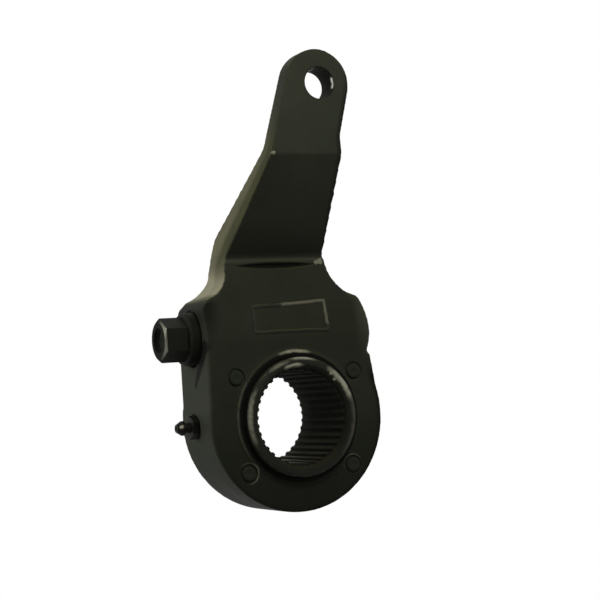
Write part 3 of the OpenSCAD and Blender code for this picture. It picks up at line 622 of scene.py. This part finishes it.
def close_tree(tree, geometry, material, result):
    """Ends a geometry tree with real meshes and their material."""
    real = put(tree, "RealizeInstances", {"Geometry": geometry}).outputs[0]
    dressed = put(tree, "SetMaterial", {"Geometry": real, "Material": material}).outputs[0]
    tree.links.new(dressed, result["Geometry"])


def grow(piece, tree, **values):
    """Runs a geometry tree on a piece with the given inputs and keeps the mesh."""
    step = piece.modifiers.new(tree.name, "NODES")
    step.node_group = tree
    for item in tree.interface.items_tree:
        if item.item_type == "SOCKET" and item.in_out == "INPUT" and item.name in values:
            step[item.identifier] = values[item.name]
    return settle(piece)


plate_frame, given, result = geometry_tree("plate_frame", {
    "Width": ("Float", 33 * mm), "Height": ("Float", 11.6 * mm), "Rib": ("Float", 1.2 * mm),
    "Rise": ("Float", 1.5 * mm), "Rounding": ("Float", 0.4 * mm), "Taper": ("Float", 0.05),
    "Turn": ("Rotation", (0, 0, 0)), "Place": ("Vector", (0, 0, 0)), "Material": ("Material", None)})
sides = {"Width": given["Width"], "Height": given["Height"]}
edge = put(plate_frame, "CurvePrimitiveQuadrilateral", sides).outputs[0]
edge = put(plate_frame, "ResampleCurve", {"Curve": edge, "Count": 240}).outputs[0]
wobble = put(plate_frame, "ShaderNodeTexNoise", {"Scale": 150.0, "Detail": 2.0}).outputs["Color"]
shift = vector_calc(plate_frame, "SUBTRACT", wobble, (0.5, 0.5, 0.5))
shift = vector_calc(plate_frame, "MULTIPLY", shift, (0.9 * mm, 0.9 * mm, 0.7 * mm))
edge = put(plate_frame, "SetPosition", {"Geometry": edge, "Offset": shift}).outputs[0]
position = put(plate_frame, "InputPosition").outputs[0]
across = put(plate_frame, "ShaderNodeSeparateXYZ", {0: position}).outputs
share = calc(plate_frame, "ADD", calc(plate_frame, "DIVIDE", across["Y"], given["Height"]), 0.5)
climb = calc(plate_frame, "MULTIPLY", across["X"], given["Taper"])
climb = calc(plate_frame, "MULTIPLY", climb, share)
climb = put(plate_frame, "ShaderNodeCombineXYZ", {1: climb}).outputs[0]
edge = put(plate_frame, "SetPosition", {"Geometry": edge, "Offset": climb}).outputs[0]
sides = {"Width": given["Rise"], "Height": given["Rib"]}
section = put(plate_frame, "CurvePrimitiveQuadrilateral", sides).outputs[0]
section = put(plate_frame, "FilletCurve", {"Curve": section, "Radius": given["Rounding"]}).outputs[0]
rib = put(plate_frame, "CurveToMesh", {"Curve": edge, "Profile Curve": section}).outputs[0]
stand = {"Geometry": rib, "Translation": given["Place"], "Rotation": given["Turn"]}
rib = put(plate_frame, "Transform", stand).outputs[0]
close_tree(plate_frame, rib, given["Material"], result)

lean = math.atan(lean_run)
plate_up = 8.1


def on_lean(a, b):
    """Point on the leaning front, in mm, from the middle of the frame."""
    up = plate_up + b
    return Vector((a, up * math.sin(lean) - face_front, lean_z + up * math.cos(lean)))


# Lighter along the right half of its top line and down its right line: (a, b, size)
lighter_spots = [(a, 5.8 + 0.05 * a, 3.4) for a in range(-2, 18, 2)] + [(16.7, b, 3.0) for b in (4, 2, 0, -2)]
rib_paint = finish(
    "rubbed_rib", (0.028, 0.031, 0.024), (0.040, 0.043, 0.034), 0.5, wear=0.5, radius=0.4,
    worn_and_lit_color=(0.14, 0.135, 0.1), worn_rough=0.5, worn_metal=0.1, specular=0.04, dusty=1.0,
    worn_and_lit_spots=[(*on_lean(a, b), size) for a, b, size in lighter_spots])
frame_rib = grow(as_object("plate_frame", bmesh.new()), plate_frame,
                 Turn=(math.pi / 2 - lean, 0, 0), Place=on_lean(0, 0) * mm, Material=rib_paint)
shade(frame_rib)
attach(frame_rib, "housing")

# Clevis bush
# Hard steel bush pressed into the eye and painted over with the lever, so its front seam is hidden.
# Its bore is painted darker than the lever as shade, with a painted highlight on its right.
# Painted highlight on the right of the bore; the dark paint of the bush is painted shade
glint_x, glint_y, glint_size = eye_x + pin_r + 0.1, strap_y + 0.8, 2.6
bush_paint = finish(
    "painted_bush", (0.010, 0.010, 0.007), (0.016, 0.017, 0.012), 0.6, wear=0.1, specular=0.03,
    worn_and_lit_color=(0.6, 0.59, 0.52), worn_and_lit_spots=[(glint_x, glint_y, eye_z + up, glint_size) for up in (-0.6, 1.4)])
press_gap, chamfer = 0.05, 0.6
bush_profile = [
    (pin_r, strap_y + skin), (bush_r - press_gap, strap_y + skin), (bush_r - press_gap, strap_y + eye_t),
    (pin_r + chamfer, strap_y + eye_t), (pin_r, strap_y + eye_t - chamfer)]
bush = turned("pressed_bush", (bush_profile, along_y(eye_x, eye_z), 96))
shade(bush)
bush.data.materials.append(bush_paint)
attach(bush, "housing")
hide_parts("clevis_bush")

# Seals, thrust washers, bushes and gasket
# Rubber rings and bronze washers round the wheel and the shaft, bronze bushes under the shaft,
# and a ring of gasket board under the cover.


def dress(material, *names):
    """Gives CAD nodes a finish in place of their plain colour."""
    for name in names:
        mesh = nodes[name].data
        mesh.materials.clear()
        mesh.materials.append(material)


rubber = finish("black_rubber", (0.012, 0.012, 0.012), (0.02, 0.02, 0.02), 0.6, fine=1500.0)
bronze = finish(
    "sintered_bronze", (0.36, 0.24, 0.1), (0.48, 0.34, 0.16), 0.38, metal=1.0, fine=2500.0, grain=0.03)
board = finish("gasket_board", (0.12, 0.1, 0.065), (0.18, 0.15, 0.1), 0.8, fine=2000.0)
dress(rubber, "front_seal", "rear_seal", "shaft_seal")
dress(bronze, "front_thrust_washer", "rear_thrust_washer", "worm_washer_left", "worm_washer_right",
      "shaft_bush_left", "shaft_bush_right")
dress(board, "cover_gasket")

# Worm wheel and hub
# Steel wheel with slanted teeth and a long hub, splined inside for the camshaft. Phosphated dark,
# with painted shade on the wall of the hub inside the lip and painted highlights on its front.
hub_front = -20.5
# Painted shade on the outer wall of the hub inside the lip; Keep is the part outside the bore
hub_marks, given, result = effect(
    "hub_marks", {"Bore": 21.2 * mm, "Rim": 22.2 * mm, "Front": (hub_front - 0.7) * mm,
                  "Wall": (hub_front + 0.5) * mm}, ["Keep", "Grease"])
where = put(hub_marks, "TexCoord").outputs["Object"]
reach = vector_calc(hub_marks, "LENGTH", vector_calc(hub_marks, "MULTIPLY", where, (1, 0, 1)))
outside = remap(hub_marks, reach, given["Bore"], given["Rim"])
depth = put(hub_marks, "SeparateXYZ", {0: where}).outputs["Y"]
wall = calc(hub_marks, "MULTIPLY", remap(hub_marks, depth, given["Front"], given["Wall"]), outside)
hub_marks.links.new(wall, result["Grease"])
hub_marks.links.new(outside, result["Keep"])

# Painted highlights round the bore: (radius, width, middle, half span, front y, strength)
hub_highlights = [
    (24.2, 1.3, 86, 18, hub_front, 1.0), (21.2, 1.3, 98, 16, hub_front + 0.5, 1.0),
    (23.4, 1.3, 114, 16, hub_front, 0.35), (22.9, 2.2, 35, 27, hub_front, 1.0),
    (23.2, 1.8, -5, 48, hub_front, 0.16), (23.6, 1.5, 178, 34, hub_front, 0.5)]
hub_steel = finish(
    "phosphated_hub", (0.016, 0.017, 0.013), (0.027, 0.027, 0.021), 0.5, wear=0.3,
    worn_and_lit_color=(0.38, 0.375, 0.29), worn_rough=0.45, worn_metal=0.2, radius=1.1, fine=1600.0,
    grain=0.06, specular=0.06, dusty=0.3, marks=hub_marks,
    worn_and_lit_spots=[(13.6, hub_front - 1, 17, 1.3), (15.3, hub_front - 1, 14.6, 1.1)],
    highlight_arcs=[((0, 0), *arc_highlight) for arc_highlight in hub_highlights])
dress(hub_steel, "worm_wheel")

# Back cover and rivets
# Round pressed cover let into the back, held by four rivets that pass through the forging.
# Their front heads are dished, their back heads domed.
cover_paint = finish(
    "cover_paint", (0.026, 0.029, 0.022), (0.037, 0.040, 0.031), 0.55, wear=0.15, specular=0.03,
    worn_and_lit_color=(0.22, 0.215, 0.17), worn_metal=0.2)
dress(cover_paint, "cover_plate")

rivets, given, result = geometry_tree("four_rivets", {
    "Rivet": ("Object", None), "Material": ("Material", None), "Seed": ("Int", 4)})
one = put(rivets, "ObjectInfo", {"Object": given["Rivet"]}).outputs["Geometry"]
any_turn = {"Max": (0, math.tau, 0), "Seed": given["Seed"]}
spin = put(rivets, "FunctionNodeRandomValue", any_turn, data_type="FLOAT_VECTOR").outputs[0]
set_in = {"Points": given["Geometry"], "Instance": one, "Rotation": spin}
each = put(rivets, "InstanceOnPoints", set_in).outputs[0]
close_tree(rivets, each, given["Material"], result)
shank_r, head_r = 2.2, 3.1
dish = [(0, -0.75), (0.9, -0.85), (1.6, -1.15), (2.2, -1.2), (2.75, -0.85), (head_r, -0.25), (head_r, 0)]
dome = [(head_r, 0), (head_r, 0.3), (2.6, 0.9), (1.7, 1.2), (0, 1.3)]
rivet_profile = (
    [(r, rivet_front + d) for r, d in dish]
    + [(shank_r, rivet_front), (shank_r, face_back)]
    + [(r, face_back + d) for r, d in dome]
)
one_rivet = turned("one_rivet", (rivet_profile, along_y(), 32))
rivet_marks = bmesh.new()
for spot_x, spot_z in rivet_spots:
    rivet_marks.verts.new((spot_x * mm, 0, spot_z * mm))
four = grow(as_object("rivets", rivet_marks), rivets, Rivet=one_rivet, Material=cover_paint)
bpy.data.objects.remove(one_rivet)
shade(four, 50)
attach(four, "housing")
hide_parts("cover_rivets")

# Worm, shaft and pin
# One-start worm pinned to a shaft that ends in the adjusting hexagon outside the body.
# The hexagon is painted; its end face is darkened as painted shade, and a painted highlight runs along the
# front corners of its end.
ground = finish(
    "ground_steel", (0.34, 0.33, 0.31), (0.44, 0.43, 0.4), 0.3, metal=1.0, fine=3000.0, grain=0.02)
hexagon_end, given, result = effect(
    "hexagon_end", {"Start": -51.6 * mm, "Reach": 7.4 * mm, "Axis": worm_z * mm}, ["Keep", "Bare", "Grease"])
where = put(hexagon_end, "SeparateXYZ", {0: put(hexagon_end, "TexCoord").outputs["Object"]}).outputs
height = calc(hexagon_end, "SUBTRACT", where["Z"], given["Axis"])
flat = put(hexagon_end, "CombineXYZ", {1: where["Y"], 2: height}).outputs[0]
at_end = calc(hexagon_end, "LESS_THAN", where["X"], given["Start"])
rim = calc(hexagon_end, "GREATER_THAN", vector_calc(hexagon_end, "LENGTH", flat), given["Reach"])
rim = calc(hexagon_end, "MULTIPLY", rim, at_end)
# Painted highlight along the front corners of the end; the end face takes painted shade
front_side = remap(hexagon_end, where["Y"], -1 * mm, -5 * mm)
hexagon_end.links.new(calc(hexagon_end, "MULTIPLY", rim, front_side), result["Bare"])
hexagon_end.links.new(at_end, result["Grease"])
hexagon_end.links.new(calc(hexagon_end, "SUBTRACT", 1.0, at_end), result["Keep"])
hexagon_paint = finish(
    "hexagon_paint", (0.008, 0.009, 0.007), (0.015, 0.015, 0.011), 0.55, wear=0.3,
    worn_and_lit_color=(0.16, 0.157, 0.127), worn_metal=0.1, radius=0.4, specular=0.05, marks=hexagon_end)
dress(ground, "worm", "drive_pin")
dress(hexagon_paint, "worm_shaft")

# End plug
# Dished plug pressed into the blind end of the worm bore and painted with the body.
dress(cover_paint, "end_plug")

# Locking sleeve
# Painted sleeve on the hexagon with its seat washer, circlip and a spring of round wire.
# A spanner pushes the sleeve in and closes up the spring.
sleeve_paint = finish(
    "sleeve_paint", (0.006, 0.007, 0.005), (0.012, 0.012, 0.009), 0.6, wear=0.15,
    worn_and_lit_color=(0.2, 0.19, 0.15), worn_metal=0.2, specular=0.05)
spring_wire = finish(
    "spring_wire", (0.4, 0.39, 0.37), (0.5, 0.49, 0.46), 0.32, metal=1.0, fine=3000.0, grain=0.02)
dress(sleeve_paint, "lock_sleeve", "sleeve_circlip")
dress(ground, "spring_seat")

coil, given, result = geometry_tree("coil_spring", {
    "Radius": ("Float", 10 * mm), "Wire": ("Float", 0.4 * mm), "Length": ("Float", 7 * mm),
    "Turns": ("Float", 4.0), "Place": ("Vector", (0, 0, 0)), "Material": ("Material", None)})
winding = put(coil, "CurveSpiral", {
    "Resolution": 40, "Rotations": given["Turns"], "Start Radius": given["Radius"],
    "End Radius": given["Radius"], "Height": given["Length"]}).outputs[0]
section = put(coil, "CurvePrimitiveCircle", {"Resolution": 12, "Radius": given["Wire"]}).outputs[0]
swept = {"Curve": winding, "Profile Curve": section, "Fill Caps": True}
wire = put(coil, "CurveToMesh", swept).outputs[0]
lying = {"Geometry": wire, "Translation": given["Place"], "Rotation": (0, math.pi / 2, 0)}
wire = put(coil, "Transform", lying).outputs[0]
close_tree(coil, wire, given["Material"], result)


def wind(name, node, radius, wire_r, turns, front, back, axis_z):
    """Coil along X between two planes."""
    end_gap = 0.06
    seat = wire_r + end_gap
    length = back - front - 2 * seat
    spring = grow(
        as_object(name, bmesh.new()), coil, Radius=radius * mm, Wire=wire_r * mm, Turns=turns,
        Length=length * mm, Place=Vector((front + seat, 0, axis_z)) * mm, Material=spring_wire)
    shade(spring)
    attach(spring, "housing")
    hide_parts(node)
    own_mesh(spring)


wind("sleeve_spring", "lock_spring", radius=10.85, wire_r=0.45, turns=3.5,
     front=-32.4, back=-24.5, axis_z=worm_z)

# Grease nipple
# Turned steel nipple screwed into the left side, painted over, with a painted highlight on its head.
# A ball on a small spring closes its tip.
# The spot on the head is a painted highlight
nipple_steel = finish(
    "nipple_steel", (0.006, 0.006, 0.005), (0.012, 0.011, 0.009), 0.5, wear=0.3,
    worn_and_lit_color=(0.3, 0.27, 0.22), worn_metal=0.3, radius=0.3, specular=0.06,
    worn_and_lit_spots=[(-45.5, -2.2, nipple_z + 0.5, 1.4)])
dress(nipple_steel, "grease_nipple")
dress(spring_wire, "nipple_ball")
wind("valve_spring", "nipple_spring", radius=0.97, wire_r=0.18, turns=6.0,
     front=-44.2, back=-39.0, axis_z=nipple_z)

# Studio
# White surroundings and a plain pale floor, with a soft lamp on the left, a close one above the front
# and a large one behind on the right.


def seen_directly(tree):
    """1 for rays from the camera, from glossy surfaces and through clear ones."""
    path = put(tree, "LightPath").outputs
    direct = calc(tree, "MAXIMUM", path["Is Camera Ray"], path["Is Glossy Ray"])
    return calc(tree, "MAXIMUM", direct, path["Is Transmission Ray"])


world = bpy.data.worlds.new("white_studio")
bpy.context.scene.world = world
world.use_nodes = True
tree = world.node_tree
tree.nodes.clear()
white = put(tree, "Background", {"Color": (1, 1, 1, 1), "Strength": 1.0}).outputs[0]
ambient = put(tree, "Background", {"Color": (0.9, 0.95, 1, 1), "Strength": 0.028}).outputs[0]
sky = put(tree, "MixShader", {0: seen_directly(tree), 1: ambient, 2: white}).outputs[0]
put(tree, "OutputWorld", {"Surface": sky})

floor_r, floor_gap = 1.2, 0.4
disc = bmesh.new()
bmesh.ops.create_circle(disc, cap_ends=True, segments=64, radius=floor_r)
bmesh.ops.translate(disc, verts=disc.verts, vec=(0, 0, -(body_r + floor_gap) * mm))
floor = as_object("pale_floor", disc)
pale = bpy.data.materials.new("pale_floor")
pale.use_nodes = True
tree = pale.node_tree
shader = tree.nodes["Principled BSDF"]
shader.inputs["Base Color"].default_value = (0.18, 0.18, 0.18, 1)
shader.inputs["Roughness"].default_value = 0.9
white = put(tree, "Emission", {"Color": (1, 1, 1, 1), "Strength": 1.0}).outputs[0]
shown = put(tree, "MixShader", {0: seen_directly(tree), 1: shader.outputs[0], 2: white}).outputs[0]
tree.links.new(shown, tree.nodes["Material Output"].inputs["Surface"])
floor.data.materials.append(pale)


def soft_lamp(name, place, aim, size, watts, color):
    data = bpy.data.lights.new(name, "AREA")
    data.shape, data.size, data.energy, data.color = "DISK", size, watts, color
    lamp = bpy.data.objects.new(name, data)
    bpy.context.scene.collection.objects.link(lamp)
    lamp.location = place
    lamp.rotation_euler = (Vector(aim) - Vector(place)).to_track_quat("-Z", "Y").to_euler()
    lamp.visible_camera = False


soft_lamp("side_light", (-0.3, 0.05, 0.11), (0, 0, 0.04), 0.15, 0.55, (0.97, 1, 0.95))
soft_lamp("front_light", (-0.02, -0.215, 0.177), (0, -0.02, 0.08), 0.1, 0.28, (1, 1, 0.92))
soft_lamp("back_light", (0.27, 0.33, 0.16), (0, 0, 0.05), 0.25, 1.9, (1, 1, 0.95))

# Camera
# Placed as fitted to the outlines of bore, big end, arm and eye: from the left, a little low and tilted.
camera = bpy.data.objects.new("photo_camera", bpy.data.cameras.new("photo_camera"))
bpy.context.scene.collection.objects.link(camera)
turn, rise, tilt = (math.radians(v) for v in (26.124, -3.065, -3.768))
aim, distance = Vector((12.484, 0, 48.831)) * mm, 0.649111
focal_px, picture_px, sensor = 1529.879, 600, 36
ahead = Vector((math.sin(turn) * math.cos(rise), math.cos(turn) * math.cos(rise), -math.sin(rise)))
right = Vector((math.cos(turn), -math.sin(turn), 0))
up = right.cross(ahead)
across = math.cos(tilt) * right + math.sin(tilt) * up
upward = -math.sin(tilt) * right + math.cos(tilt) * up
facing = Matrix((across, upward, -ahead)).transposed().to_4x4()
camera.matrix_world = Matrix.Translation(aim - ahead * distance) @ facing
camera.data.sensor_width = sensor
camera.data.lens = focal_px * sensor / picture_px
camera.data.clip_start = 0.01
bpy.context.scene.camera = camera
bpy.context.scene.view_settings.view_transform = "Standard"
